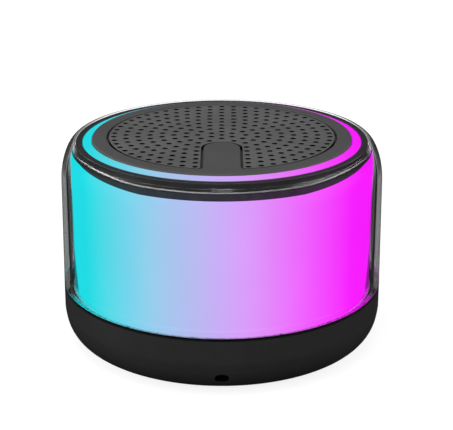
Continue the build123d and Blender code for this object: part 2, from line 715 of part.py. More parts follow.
cap_limit = [(r + 0.38, z) for r, z in base_outer[4:]]
for name, angle in button_angles.items():
    with BuildPart() as stem:
        with BuildSketch(radial_plane(angle, 37.5, panel_z)):
            Rectangle(2.4, 1.5)
        extrude(amount=1.7)
    stem.part.label = name + "_switch_stem"
    export_step(stem.part, "parts/" + name + "_switch_stem.step")

    with BuildPart() as button:
        # side ears behind the wall, kept inside its curve
        with BuildSketch(radial_plane(angle, 39.2, panel_z)):
            Rectangle(7.8, 3.0)
        extrude(amount=0.75)
        with BuildSketch(Plane.XY.offset(5)):
            Circle(39.8)
        extrude(amount=12, mode=Mode.INTERSECT)
        # cap, with its face following the side of the base
        with BuildSketch(radial_plane(angle, 39.2, panel_z)):
            SlotOverall(button_w, button_h)
        extrude(amount=4.2)
        with BuildSketch(Plane.XZ):
            with BuildLine():
                Line((0, 16), (0, cap_limit[0][1]))
                Line((0, cap_limit[0][1]), cap_limit[0])
                Spline(cap_limit)
                Polyline(cap_limit[-1], (outer_r + 0.38, 16), (0, 16))
            make_face()
        revolve(axis=Axis.Z, mode=Mode.INTERSECT)
        face_edges = [e for e in button.edges() if hypot(e.center().X, e.center().Y) > 42.3 and e.length > 1.0]
        fillet(face_edges, 0.3)
        # generic symbol sunk into the face
        with BuildSketch(radial_plane(angle, 42.62, panel_z)):
            if name == "minus":
                Rectangle(1.8, 0.34)
            elif name == "plus":
                Rectangle(1.8, 0.34)
                Rectangle(0.34, 1.8)
            elif name == "power":
                Circle(0.85)
                Circle(0.57, mode=Mode.SUBTRACT)
                with Locations((0, 0.8)):
                    Rectangle(0.8, 0.9, mode=Mode.SUBTRACT)
                with Locations((0, 0.65)):
                    Rectangle(0.28, 0.95)
            else:
                Circle(0.42)
                with PolarLocations(0.9, 8):
                    Rectangle(0.42, 0.2)
        extrude(amount=2, mode=Mode.SUBTRACT)
    button.part.label = name + "_button"
    export_step(button.part, "parts/" + name + "_button.step")

with BuildPart() as wire_sockets:
    with BuildSketch(Plane.XY.offset(board_z1)):
        with Locations((28.0, -4.0), (-28.5, -8.5)):
            Rectangle(4.4, 6.0)
        with Locations((-9.5, -22.0)):
            Rectangle(6.0, 4.4)
    extrude(amount=3.2)
    chamfer(wire_sockets.edges().group_by(Axis.Z)[-1], 0.3)
wire_sockets.part.label = "wire_sockets"
export_step(wire_sockets.part, "parts/wire_sockets.step")

with BuildPart() as board_screws:
    with BuildSketch(Plane.XY.offset(board_z1)):
        with Locations((board_screw_x, 0), (-board_screw_x, 0)):
            Circle(1.8)
    extrude(amount=1.0)
    fillet(board_screws.edges().group_by(Axis.Z)[-1], 0.3)
    with BuildSketch(Plane.XY.offset(board_z1)):
        with Locations((board_screw_x, 0), (-board_screw_x, 0)):
            Circle(0.9)
    extrude(amount=-4.8)
    with BuildSketch(Plane.XY.offset(board_z1 + 1.0)):
        with Locations((board_screw_x, 0), (-board_screw_x, 0)):
            Rectangle(1.9, 0.35)
            Rectangle(0.35, 1.9)
    extrude(amount=-0.6, mode=Mode.SUBTRACT)
board_screws.part.label = "board_screws"
export_step(board_screws.part, "parts/board_screws.step")

# ---------------------------------------------------------------- battery, microphone, leads
with BuildPart() as battery_pad:
    with BuildSketch(Plane.XY.offset(floor_z)):
        Rectangle(34, 24)
    extrude(amount=0.3)
battery_pad.part.label = "battery_pad"
export_step(battery_pad.part, "parts/battery_pad.step")

with BuildPart() as battery:
    with BuildSketch(Plane.XY.offset(floor_z + 0.3)):
        RectangleRounded(40, 30, 1.2)
    extrude(amount=4.5)
    fillet(battery.edges().filter_by(GeomType.LINE).filter_by(Axis.X), 1.0)
battery.part.label = "battery"
export_step(battery.part, "parts/battery.step")

with BuildPart() as microphone_boot:
    with BuildSketch(radial_plane(270, 36.6, mic_z)):
        RectangleRounded(4.4, 3.3, 0.5)
    extrude(amount=2.4)
    with BuildSketch(radial_plane(270, 38.9, mic_z)):
        RectangleRounded(mic_w - 0.15, mic_h - 0.15, 1.1)
    extrude(amount=1.3)
    with BuildSketch(radial_plane(270, 36.5, mic_z)):
        Circle(0.45)
    extrude(amount=5.0, mode=Mode.SUBTRACT)
microphone_boot.part.label = "microphone_boot"
export_step(microphone_boot.part, "parts/microphone_boot.step")

with BuildPart() as microphone:
    with BuildSketch(radial_plane(270, 35.3, mic_z)):
        Rectangle(3.8, 3.0)
    extrude(amount=1.3)
microphone.part.label = "microphone"
export_step(microphone.part, "parts/microphone.step")

wire_r = 0.45


def lead_plane(p, q):
    """Plane at p looking along p to q, for the section of a lead."""
    return Plane(origin=p, z_dir=(q[0] - p[0], q[1] - p[1], q[2] - p[2]))


# battery to board, through the hole in the board
with BuildPart() as battery_leads:
    for dy in (-0.7, 0.7):
        route = [(20.0, -4.0 + dy, 6.4), (23.6, -4.0 + dy, 6.4), (23.6, -4.0 + dy, 11.4), (25.8, -4.0 + dy, 11.4)]
        with BuildLine() as path:
            FilletPolyline(*route, radius=1.3)
        with BuildSketch(lead_plane(route[0], route[1])):
            Circle(wire_r)
        sweep(path=path.wires()[0])
battery_leads.part.label = "battery_leads"
export_step(battery_leads.part, "parts/battery_leads.step")

# board to driver, up through the chamber
with BuildPart() as driver_leads:
    for side in (-1, 1):
        ca, sa = cos(radians(terminal_angle)), sin(radians(terminal_angle))
        end = (21.75 * ca - 2.4 * side * sa, 21.75 * sa + 2.4 * side * ca)
        route = [(-9.5 - 0.8 * side, -19.6, 11.3), (-12.0 - 0.6 * side, -14.5 - 0.6 * side, 11.6),
                 (-12.0 - 0.6 * side, -14.5 - 0.6 * side, 21.0), (-20.6 - 0.9 * side, -12.0 - 1.2 * side, 31.5),
                 (end[0], end[1], 42.3)]
        with BuildLine() as path:
            FilletPolyline(*route, radius=[1.6, 5.0, 6.0])
        with BuildSketch(lead_plane(route[0], route[1])):
            Circle(wire_r)
        sweep(path=path.wires()[0])
driver_leads.part.label = "driver_leads"
export_step(driver_leads.part, "parts/driver_leads.step")

# board to light strip, outside the chamber
with BuildPart() as strip_wires:
    for side in (-1, 1):
        route = [(-28.5 + 0.8 * side, -11.7, 11.3), (-31.1 + 0.35 * side, -15.84 - 0.55 * side, 11.4),
                 (-31.1 + 0.35 * side, -15.84 - 0.55 * side, 19.0),
                 (31.8 * cos(radians(207 + side)), 31.8 * sin(radians(207 + side)), 25.9)]
        with BuildLine() as path:
            FilletPolyline(*route, radius=[1.6, 4.0])
        with BuildSketch(lead_plane(route[0], route[1])):
            Circle(wire_r)
        sweep(path=path.wires()[0])
strip_wires.part.label = "strip_wires"
export_step(strip_wires.part, "parts/strip_wires.step")
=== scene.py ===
import math

import bpy
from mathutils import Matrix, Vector
from mathutils.geometry import delaunay_2d_cdt


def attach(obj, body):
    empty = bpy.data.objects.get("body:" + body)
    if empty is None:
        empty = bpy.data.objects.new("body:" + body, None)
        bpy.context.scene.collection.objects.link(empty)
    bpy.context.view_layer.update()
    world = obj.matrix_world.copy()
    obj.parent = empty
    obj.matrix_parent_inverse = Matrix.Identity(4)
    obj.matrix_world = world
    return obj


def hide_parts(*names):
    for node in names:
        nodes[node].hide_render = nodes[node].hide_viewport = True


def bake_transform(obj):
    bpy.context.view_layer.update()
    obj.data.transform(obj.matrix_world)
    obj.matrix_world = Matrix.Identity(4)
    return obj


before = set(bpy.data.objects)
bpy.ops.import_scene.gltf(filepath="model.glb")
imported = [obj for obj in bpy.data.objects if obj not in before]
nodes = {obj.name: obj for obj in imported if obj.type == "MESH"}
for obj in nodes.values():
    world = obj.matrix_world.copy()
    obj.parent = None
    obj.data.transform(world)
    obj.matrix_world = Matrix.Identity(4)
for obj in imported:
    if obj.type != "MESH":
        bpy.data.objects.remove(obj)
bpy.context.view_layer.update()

MM = 0.001


# ---------------------------------------------------------------- mesh helpers
def superellipse(a_deg, r0, dr, z0, dz, p):
    """Point of a superelliptic corner: 0 is its outermost point and 90 its end on z0 + dz."""
    c, s = math.cos(math.radians(a_deg)), math.sin(math.radians(a_deg))
    return (r0 + dr * c ** p, z0 + dz * s ** p)


def rounded(corners, steps=5):
    """A closed section from (r, z) or (r, z, radius) corners, with each radius drawn as an arc."""
    out, n = [], len(corners)
    for i, c in enumerate(corners):
        p = Vector(c[:2])
        rad = c[2] if len(c) > 2 else 0.0
        if rad <= 0:
            out.append((p.x, p.y))
            continue
        a = (Vector(corners[i - 1][:2]) - p).normalized()
        b = (Vector(corners[(i + 1) % n][:2]) - p).normalized()
        half = a.angle(b) / 2
        cut = rad / math.tan(half)
        centre = p + (a + b).normalized() * (rad / math.sin(half))
        s, e = p + a * cut - centre, p + b * cut - centre
        turn = s.angle_signed(e)
        for k in range(steps + 1):
            t = -turn * k / steps
            v = Vector((s.x * math.cos(t) - s.y * math.sin(t), s.x * math.sin(t) + s.y * math.cos(t)))
            out.append((centre.x + v.x, centre.y + v.y))
    return out


def mesh_object(name, verts, faces, sharp=35.0):
    me = bpy.data.meshes.new(name)
    me.from_pydata(verts, [], faces)
    me.validate()
    me.polygons.foreach_set("use_smooth", [True] * len(me.polygons))
    me.set_sharp_from_angle(angle=math.radians(sharp))
    me.update()
    ob = bpy.data.objects.new(name, me)
    bpy.context.scene.collection.objects.link(ob)
    return ob


def lathe(name, section, steps=320, sharp=35.0):
    """A closed (r, z) section in mm, anticlockwise with r to the right and z up, turned about the Z axis."""
    area = sum(a[0] * b[1] - b[0] * a[1] for a, b in zip(section, section[1:] + section[:1]))
    if area < 0:
        section = section[::-1]
    m = len(section)
    verts, faces = [], []
    for i in range(steps):
        a = 2 * math.pi * i / steps
        ca, sa = math.cos(a), math.sin(a)
        verts += [(r * ca * MM, r * sa * MM, z * MM) for r, z in section]
    for i in range(steps):
        j = (i + 1) % steps
        for k in range(m):
            l = (k + 1) % m
            faces.append((i * m + k, j * m + k, j * m + l, i * m + l))
    return mesh_object(name, verts, faces, sharp)


# ---------------------------------------------------------------- node helpers
def lin(*srgb):
    """Scene colour of 0-255 display values."""
    return tuple((v / 255 / 12.92 if v <= 10.3 else ((v / 255 + 0.055) / 1.055) ** 2.4) for v in srgb) + (1.0,)


class Nodes:
    """A short way to write a material's nodes."""

    def __init__(self, name):
        self.mat = bpy.data.materials.new(name)
        self.mat.use_nodes = True
        self.nt = self.mat.node_tree
        self.nt.nodes.clear()
        self.out = self.nt.nodes.new("ShaderNodeOutputMaterial")
        self.p = self.nt.nodes.new("ShaderNodeBsdfPrincipled")
        self.nt.links.new(self.p.outputs[0], self.out.inputs["Surface"])
        self.tc = self.nt.nodes.new("ShaderNodeTexCoord")

    def new(self, kind, **props):
        n = self.nt.nodes.new(kind)
        for k, v in props.items():
            setattr(n, k, v)
        return n

    def link(self, a, b):
        self.nt.links.new(a, b)

    def coords(self, scale=(1, 1, 1)):
        m = self.new("ShaderNodeMapping")
        m.inputs["Scale"].default_value = scale
        self.link(self.tc.outputs["Object"], m.inputs["Vector"])
        return m.outputs["Vector"]

    def noise(self, scale, detail=3.0, rough=0.55, stretch=(1, 1, 1)):
        n = self.new("ShaderNodeTexNoise")
        self.link(self.coords(stretch), n.inputs["Vector"])
        n.inputs["Scale"].default_value = scale
        n.inputs["Detail"].default_value = detail
        n.inputs["Roughness"].default_value = rough
        return n.outputs["Fac"]

    def ramp(self, fac, stops, interpolation="LINEAR"):
        r = self.new("ShaderNodeValToRGB")
        r.color_ramp.interpolation = interpolation
        el = r.color_ramp.elements
        while len(el) < len(stops):
            el.new(0.5)
        for e, (pos, col) in zip(el, stops):
            e.position = pos
            e.color = col
        self.link(fac, r.inputs["Fac"])
        return r.outputs["Color"]

    def remap(self, value, a0, a1, b0, b1, smooth=False):
        m = self.new("ShaderNodeMapRange")
        if smooth:
            m.interpolation_type = "SMOOTHSTEP"
        for k, v in zip((1, 2, 3, 4), (a0, a1, b0, b1)):
            m.inputs[k].default_value = v
        self.link(value, m.inputs[0])
        return m.outputs[0]

    def math(self, op, a, b=None):
        m = self.new("ShaderNodeMath", operation=op)
        for i, v in enumerate((a, b)):
            if v is None:
                continue
            if isinstance(v, (int, float)):
                m.inputs[i].default_value = v
            else:
                self.link(v, m.inputs[i])
        return m.outputs[0]

    def mix(self, fac, a, b, blend="MIX"):
        m = self.new("ShaderNodeMix", data_type="RGBA", blend_type=blend)
        if isinstance(fac, (int, float)):
            m.inputs[0].default_value = fac
        else:
            self.link(fac, m.inputs[0])
        for i, v in ((6, a), (7, b)):
            if isinstance(v, tuple):
                m.inputs[i].default_value = v
            else:
                self.link(v, m.inputs[i])
        return m.outputs[2]

    def bump(self, height, strength, distance_mm, after=None):
        b = self.new("ShaderNodeBump")
        b.inputs["Strength"].default_value = strength
        b.inputs["Distance"].default_value = distance_mm * MM
        self.link(height, b.inputs["Height"])
        if after is not None:
            self.link(after, b.inputs["Normal"])
        return b.outputs["Normal"]

    def set(self, **values):
        names = {"metallic": "Metallic", "ior": "IOR", "spec": "Specular IOR Level", "coat": "Coat Weight",
                 "coat_rough": "Coat Roughness", "transmission": "Transmission Weight", "sheen": "Sheen Weight",
                 "sheen_rough": "Sheen Roughness", "rough": "Roughness"}
        for k, v in values.items():
            self.p.inputs[names[k]].default_value = v


def finish_material(name, colour, spread=0.12, rough=0.5, rough_spread=0.07, grain=1500.0, grain_depth=0.012,
                    cloud=55.0, stretch=(1, 1, 1), **values):
    """A moulded or plated finish: slow colour drift, fine surface grain, and gloss that drifts with both."""
    n = Nodes(name)
    slow = n.noise(cloud, 4.0, 0.6, stretch)
    fine = n.noise(grain, 2.0, 0.6, stretch)
    dark = tuple(c * (1 - spread) for c in colour[:3]) + (1.0,)
    light = tuple(min(1.0, c * (1 + spread)) for c in colour[:3]) + (1.0,)
    both = n.math("ADD", n.math("MULTIPLY", slow, 0.6), n.math("MULTIPLY", fine, 0.4))
    n.link(n.ramp(both, [(0.36, dark), (0.64, light)]), n.p.inputs["Base Color"])
    n.link(n.remap(both, 0.35, 0.65, rough - rough_spread, rough + rough_spread), n.p.inputs["Roughness"])
    if grain_depth:
        n.link(n.bump(fine, 0.35, grain_depth), n.p.inputs["Normal"])
    n.set(**values)
    return n


# ---------------------------------------------------------------- materials
BASE = finish_material("base_satin_black", lin(49, 49, 50), 0.10, 0.46, 0.05, 1700, 0.014, spec=0.35)
# painted shade under the joint below the clear wall: the base colour is darkened and its gloss dulled just below it
sep = BASE.new("ShaderNodeSeparateXYZ")
BASE.link(BASE.tc.outputs["Object"], sep.inputs[0])
edge = BASE.remap(sep.outputs["Z"], 0.01525, 0.01548, 0.0, 1.0, smooth=True)
tone = BASE.p.inputs["Base Color"].links[0].from_socket
# painted shade: the base colour goes near black just under the joint
BASE.link(BASE.mix(edge, tone, lin(8, 8, 8)), BASE.p.inputs["Base Color"])
dull = BASE.p.inputs["Roughness"].links[0].from_socket
BASE.link(BASE.math("ADD", dull, BASE.math("MULTIPLY", edge, 0.4)), BASE.p.inputs["Roughness"])
BASE = BASE.mat
TRIM = finish_material("trim_gloss_black", lin(48, 47, 48), 0.10, 0.24, 0.05, 900, 0.003, spec=0.45).mat
FRAME = finish_material("frame_satin_grey", lin(78, 77, 77), 0.07, 0.46, 0.05, 1600, 0.010, spec=0.35).mat
GRILLE = finish_material("grille_grained_grey", lin(89, 89, 90), 0.12, 0.48, 0.06, 1900, 0.018, spec=0.4).mat
# near-black bore walls: painted shade inside the grille's holes
BORE_SHADE = finish_material("grille_bore_painted_shade", lin(9, 9, 9), 0.2, 0.8, 0.06, 1500, 0.01, spec=0.1).mat
SEAL = finish_material("seal_black", lin(6, 6, 6), 0.15, 0.7, 0.06, 1200, 0.01, spec=0.1).mat
FOOT = finish_material("foot_rubber_matte", lin(34, 34, 35), 0.14, 0.78, 0.06, 1100, 0.03, spec=0.3).mat
KEYS = finish_material("key_satin_black", lin(42, 42, 43), 0.10, 0.5, 0.05, 1700, 0.012, spec=0.35)

# the sunk symbols on the keys are filled with pale paint: they lie further in than the face of the cap
KEY_ANGLES, KEY_Z = (129.0, 116.5, 62.0, 49.5), 11.2
sep = KEYS.new("ShaderNodeSeparateXYZ")
KEYS.link(KEYS.tc.outputs["Object"], sep.inputs[0])
x, y, z = sep.outputs
near_z = KEYS.math("LESS_THAN", KEYS.math("ABSOLUTE", KEYS.math("SUBTRACT", z, KEY_Z * MM)), 1.45 * MM)
painted = None
for a in KEY_ANGLES:
    c, s = math.cos(math.radians(a)), math.sin(math.radians(a))
    out = KEYS.math("ADD", KEYS.math("MULTIPLY", x, c), KEYS.math("MULTIPLY", y, s))
    across = KEYS.math("ADD", KEYS.math("MULTIPLY", x, -s), KEYS.math("MULTIPLY", y, c))
    floor_of = KEYS.math("LESS_THAN", KEYS.math("ABSOLUTE", KEYS.math("SUBTRACT", out, 42.62 * MM)), 0.04 * MM)
    here = KEYS.math("MULTIPLY", floor_of, KEYS.math("LESS_THAN", KEYS.math("ABSOLUTE", across), 1.45 * MM))
    painted = here if painted is None else KEYS.math("MAXIMUM", painted, here)
painted = KEYS.math("MULTIPLY", painted, near_z)
bare = KEYS.p.inputs["Base Color"].links[0].from_socket
KEYS.link(KEYS.mix(painted, bare, lin(196, 196, 194)), KEYS.p.inputs["Base Color"])
KEYS = KEYS.mat


# share of gloss from face on to edge on
GLOSS = [(0.0, 0.04), (0.72, 0.05), (0.82, 0.15), (0.9, 0.5), (1.0, 0.9)]


def clear_material(name, painted_edge_shade, sheen=GLOSS, shoulder=None, band=False, spec=0.5, ior=1.5):
    """Thin clear plastic: see-through face on, a sharp gloss, and denser where the wall is seen along its length, with
    a dark painted shade there that stands in for the dark edges refraction gives.
    """
    n = Nodes(name)
    wave = n.noise(26.0, 2.0, 0.5, (1, 1, 0.5))
    fine = n.noise(520.0, 2.0, 0.5)
    normal = n.bump(wave, 0.25, 0.5)
    through = n.new("ShaderNodeBsdfTransparent")
    through.inputs["Color"].default_value = (0.985, 0.99, 0.99, 1)
    gloss = n.new("ShaderNodeBsdfGlossy")
    gloss.inputs["Color"].default_value = (1, 1, 1, 1)
    n.link(n.remap(fine, 0.3, 0.7, 0.012, 0.04), gloss.inputs["Roughness"])
    n.link(normal, gloss.inputs["Normal"])
    facing = n.new("ShaderNodeLayerWeight")
    facing.inputs["Blend"].default_value = 0.5
    tilt = n.new("ShaderNodeLayerWeight")
    tilt.inputs["Blend"].default_value = 0.5
    n.link(normal, tilt.inputs["Normal"])
    mirror = n.ramp(tilt.outputs["Facing"], [(p, (v, v, v, 1)) for p, v in sheen])
    sep = n.new("ShaderNodeSeparateXYZ")
    n.link(n.tc.outputs["Object"], sep.inputs[0])
    if band:                             # the sloping edge of the foot ring shows no bright or dark line
        plain = n.math("MAXIMUM", n.remap(sep.outputs["Z"], 0.01675, 0.01690, 1.0, 0.0),
                       n.remap(sep.outputs["Z"], 0.01772, 0.01790, 0.0, 1.0))
        mirror = n.math("MULTIPLY", mirror, plain)
    pane = n.new("ShaderNodeMixShader")
    n.link(mirror, pane.inputs[0])
    n.link(through.outputs[0], pane.inputs[1])
    n.link(gloss.outputs[0], pane.inputs[2])
    # share of the dark painted shade standing in for the wall's dark refraction edges, by how aslant the wall is seen
    share = n.ramp(facing.outputs["Facing"], [(p, (v, v, v, 1)) for p, v in painted_edge_shade])
    if shoulder:                         # the shoulder is clearer than the wall, with a thin painted dark outline
        above = n.ramp(facing.outputs["Facing"], [(p, (v, v, v, 1)) for p, v in shoulder])
        share = n.mix(n.remap(sep.outputs["Z"], 0.0465, 0.0500, 0.0, 1.0, smooth=True), share, above)
    if band:                             # painted dark second image of the black ring in the shoulder, standing in for its refraction, fading where seen aslant
        low = n.remap(facing.outputs["Facing"], 0.15, 0.60, 0.0506, 0.0522)
        rise = n.remap(n.math("SUBTRACT", sep.outputs["Z"], low), 0.0, 0.00012, 0.0, 1.0, smooth=True)
        fall = n.remap(sep.outputs["Z"], 0.0525, 0.0528, 1.0, 0.0)
        share = n.math("MAXIMUM", share, n.math("MULTIPLY", n.math("MULTIPLY", rise, fall), 0.97))
        # the thick foot ring is clear, and its sloping edge carries a pale painted highlight where it is seen aslant
        share = n.math("MULTIPLY", share, n.remap(sep.outputs["Z"], 0.0176, 0.0190, 0.2, 1.0, smooth=True))
        share = n.math("MULTIPLY", share, plain)
        painted_glint_zone = n.math("MULTIPLY", n.remap(sep.outputs["Z"], 0.01700, 0.01712, 0.0, 1.0),
                         n.remap(sep.outputs["Z"], 0.01752, 0.01762, 1.0, 0.0))
        aslant = n.ramp(facing.outputs["Facing"], [(p, (v, v, v, 1)) for p, v in ((0.0, 0.0), (0.52, 0.0), (0.66, 0.28),
                                                                               (0.76, 0.28), (0.84, 0.0), (1.0, 0.0))])
        share = n.mix(painted_glint_zone, share, aslant)
    # the dark colour of the painted edge shade
    tone = n.ramp(fine, [(0.3, (0.018, 0.018, 0.019, 1)), (0.7, (0.028, 0.028, 0.029, 1))])
    # the pale colour of the painted highlight on the foot's sloping edge
    if band:
        tone = n.mix(painted_glint_zone, tone, (0.86, 0.90, 0.91, 1))
    n.link(tone, n.p.inputs["Base Color"])
    n.link(n.remap(fine, 0.3, 0.7, 0.08, 0.14), n.p.inputs["Roughness"])
    n.set(spec=spec, ior=ior)
    wall = n.new("ShaderNodeMixShader")
    n.link(share, wall.inputs[0])
    n.link(pane.outputs[0], wall.inputs[1])
    n.link(n.p.outputs[0], wall.inputs[2])
    n.link(wall.outputs[0], n.out.inputs["Surface"])
    return n.mat


# Colours of the light round the tube, at places across it in mm
GLOW = [(-40.4, (22, 220, 229)), (-34.66, (22, 220, 229)), (-32.29, (49, 220, 230)), (-27.84, (86, 216, 231)),
        (-23.61, (112, 211, 234)), (-19.51, (136, 207, 235)), (-15.50, (156, 200, 235)), (-11.55, (169, 193, 237)),
        (-7.65, (180, 186, 238)), (-3.76, (192, 178, 240)), (0.11, (201, 169, 245)), (3.98, (212, 159, 247)),
        (7.86, (218, 148, 247)), (11.77, (225, 132, 247)), (15.73, (232, 116, 250)), (19.74, (238, 98, 252)),
        (23.84, (242, 78, 253)), (28.08, (246, 56, 254)), (32.55, (248, 25, 255)), (34.94, (249, 18, 255)),
        (40.4, (249, 18, 255))]


def glow_material():
    n = Nodes("diffuser_milky_lit")
    sep = n.new("ShaderNodeSeparateXYZ")
    n.link(n.tc.outputs["Object"], sep.inputs[0])
    across = n.remap(sep.outputs["X"], -0.0404, 0.0404, 0.0, 1.0)
    stops = [((x + 40.4) / 80.8, lin(*c)) for x, c in GLOW]
    colour = n.ramp(across, stops)
    haze = n.noise(38.0, 3.0, 0.5)
    lamp = n.remap(haze, 0.3, 0.7, 0.975, 1.025)
    neck = n.remap(sep.outputs["Z"], 0.0512, 0.0532, 1.0, 0.865)
    strength = n.math("MULTIPLY", n.math("MULTIPLY", lamp, neck), GLOW_STRENGTH)
    n.link(colour, n.p.inputs["Emission Color"])
    n.link(strength, n.p.inputs["Emission Strength"])
    n.link(n.mix(n.remap(haze, 0.3, 0.7, 0.0, 1.0), (0.009, 0.009, 0.010, 1), (0.012, 0.012, 0.013, 1)),
           n.p.inputs["Base Color"])
    n.link(n.remap(n.noise(700.0), 0.3, 0.7, 0.5, 0.62), n.p.inputs["Roughness"])
    n.set(spec=0.0)
    return n.mat


GLOW_STRENGTH = 1.13
CLEAR = clear_material("cover_clear_outside", [(0.0, 0.0), (0.64, 0.02), (0.70, 0.22), (0.745, 0.42), (0.765, 0.60),
                                               (0.785, 0.58), (0.80, 0.52), (0.83, 0.52), (0.862, 0.48), (0.9, 0.40),
                                               (1.0, 0.5)],
                       shoulder=[(0.0, 0.0), (0.70, 0.0), (0.78, 0.85), (1.0, 0.96)])
CLEAR_IN = clear_material("cover_clear_inside", [(0.0, 0.0), (0.745, 0.0), (0.755, 0.35), (0.765, 0.7), (0.80, 0.72),
                                                 (0.83, 0.64), (0.85, 0.78), (0.88, 0.95), (1.0, 0.95)],
                          sheen=[(0.0, 0.04), (0.72, 0.05), (0.82, 0.08), (0.88, 0.08), (1.0, 0.2)],
                          shoulder=[(0.0, 0.0), (0.80, 0.0), (0.9, 0.3), (1.0, 0.45)], band=True, ior=1.0)
# the flat underside of the wall throws the light back up, as a prism does
CLEAR_FOOT = clear_material("cover_clear_foot", [(0.0, 0.02), (1.0, 0.02)], [(0.0, 0.9), (1.0, 0.9)])
MILKY = glow_material()


def cloth_material():
    """Open weave: two crossed wave patterns about 0.35 mm apart."""
    n = Nodes("dust_cloth_weave")
    waves = []
    for axis in ("X", "Y"):
        w = n.new("ShaderNodeTexWave", wave_type="BANDS", bands_direction=axis)
        n.link(n.tc.outputs["Object"], w.inputs["Vector"])
        w.inputs["Scale"].default_value = 900.0
        w.inputs["Distortion"].default_value = 0.6
        w.inputs["Detail Scale"].default_value = 2.0
        waves.append(w.outputs["Fac"])
    weave = n.math("MULTIPLY", waves[0], waves[1])
    n.link(n.ramp(weave, [(0.0, lin(4, 4, 4)), (1.0, lin(14, 14, 15))]), n.p.inputs["Base Color"])
    n.link(n.bump(weave, 0.6, 0.05), n.p.inputs["Normal"])
    n.set(rough=0.9, spec=0.1, sheen=0.05)
    return n.mat


CLOTH = cloth_material()


def board_material():
    """Green solder mask with faint copper tracks and fibre."""
    n = Nodes("board_solder_mask")
    v = n.new("ShaderNodeTexVoronoi", feature="DISTANCE_TO_EDGE")
    n.link(n.coords(), v.inputs["Vector"])
    v.inputs["Scale"].default_value = 260.0
    track = n.remap(v.outputs["Distance"], 0.04, 0.07, 1.0, 0.0)
    fine = n.noise(1400.0)
    base = n.ramp(fine, [(0.35, (0.010, 0.085, 0.035, 1)), (0.65, (0.016, 0.12, 0.05, 1))])
    n.link(n.mix(track, base, (0.05, 0.22, 0.09, 1)), n.p.inputs["Base Color"])
    n.link(n.bump(track, 0.3, 0.03), n.p.inputs["Normal"])
    n.set(rough=0.3, coat=0.3, coat_rough=0.15)
    return n.mat


def brushed(name, colour, rough=0.3, metallic=1.0):
    return finish_material(name, colour, 0.09, rough, 0.06, 1300, 0.006, stretch=(1, 1, 7), metallic=metallic).mat


STEEL = brushed("steel_zinc", lin(186, 186, 182))
TIN = brushed("steel_tinned", lin(205, 205, 202), 0.26)
BLACK_STEEL = finish_material("steel_black_coated", lin(40, 40, 41), 0.12, 0.45, 0.06, 1300, 0.02, spec=0.5).mat
FERRITE = finish_material("ferrite_sintered", lin(58, 58, 61), 0.18, 0.62, 0.08, 900, 0.05).mat
PLASTIC_WHITE = finish_material("plastic_white", lin(226, 226, 222), 0.03, 0.45, 0.05, 1400, 0.01).mat
NYLON = finish_material("plastic_nylon", lin(226, 222, 204), 0.05, 0.5, 0.05, 1400, 0.01).mat
EPOXY = finish_material("chip_moulded", lin(34, 34, 36), 0.12, 0.6, 0.05, 2200, 0.015).mat
PORT = finish_material("port_black_nylon", lin(26, 26, 27), 0.15, 0.5, 0.06, 1500, 0.01).mat
ALU = brushed("aluminium_can", lin(200, 202, 204), 0.32)
FOIL = brushed("cell_laminate", lin(212, 212, 214), 0.35)
COPPER = finish_material("copper_enamelled", lin(190, 104, 62), 0.12, 0.28, 0.05, 2500, 0.02, metallic=1.0).mat
KAPTON = finish_material("film_amber", lin(186, 116, 34), 0.1, 0.25, 0.05, 500, 0.004, coat=0.4).mat
PHENOLIC = finish_material("phenolic_board", lin(120, 84, 48), 0.18, 0.5, 0.06, 1500, 0.015).mat
RED = finish_material("wire_red_silicone", lin(176, 26, 20), 0.1, 0.5, 0.05, 1500, 0.01).mat
FOAM = finish_material("foam_black", lin(30, 30, 30), 0.3, 0.92, 0.04, 1500, 0.12).mat
PAPER = finish_material("cone_pulp", lin(40, 39, 38), 0.22, 0.8, 0.06, 800, 0.06, stretch=(1, 1, 3)).mat
RUBBER = finish_material("surround_rubber", lin(24, 24, 25), 0.12, 0.55, 0.06, 1200, 0.01).mat
COTTON = finish_material("spider_cotton", lin(196, 164, 104), 0.14, 0.8, 0.06, 1800, 0.05).mat
RESIN = finish_material("led_resin", lin(238, 226, 168), 0.05, 0.3, 0.05, 1200, 0.006).mat
BOARD = board_material()

SLOTS = {
    "foot_rubber": FOOT, "base_plastic": BASE, "clear_plastic": CLEAR, "milky_plastic": MILKY, "trim_plastic": TRIM,
    "frame_plastic": FRAME, "grille_plastic": GRILLE, "black_cloth": CLOTH, "white_plastic": PLASTIC_WHITE,
    "black_seal": SEAL, "zinc_steel": STEEL, "button_rubber": KEYS, "white_flex": PLASTIC_WHITE, "led_package": RESIN,
    "black_foam": FOAM, "black_steel": BLACK_STEEL, "surround_rubber": RUBBER, "cone_paper": PAPER, "kapton": KAPTON,
    "copper_wire": COPPER, "spider_cloth": COTTON, "ferrite": FERRITE, "terminal_board": PHENOLIC,
    "board_green": BOARD, "chip_epoxy": EPOXY, "capacitor_sleeve": ALU, "inductor_ferrite": FERRITE, "tin_can": TIN,
    "socket_plastic": NYLON, "port_plastic": PORT, "cell_foil": FOIL, "red_wire": RED, "mic_can": TIN,
}
for name, ob in nodes.items():
    for s in ob.material_slots:
        key = s.material.name.split(".")[0] if s.material else ""
        if key in SLOTS:
            s.material = SLOTS[key]
        else:
            raise ValueError(f"no finish for {name}: {key}")


def piece(ob, material, slot, *stands_for):
    ob.data.materials.append(material)
    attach(ob, "speaker")
    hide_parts(*stands_for)
    return ob


# ---------------------------------------------------------------- clear cover, light, trim
outer_r, joint_z, gasket_h = 42.5, 15.66, 0.3
shoulder_z, shoulder_r, lip_r, lip_z = 44.74, 42.25, 38.28, 54.86
cover_z0 = joint_z + gasket_h
cover_in_r = 41.0


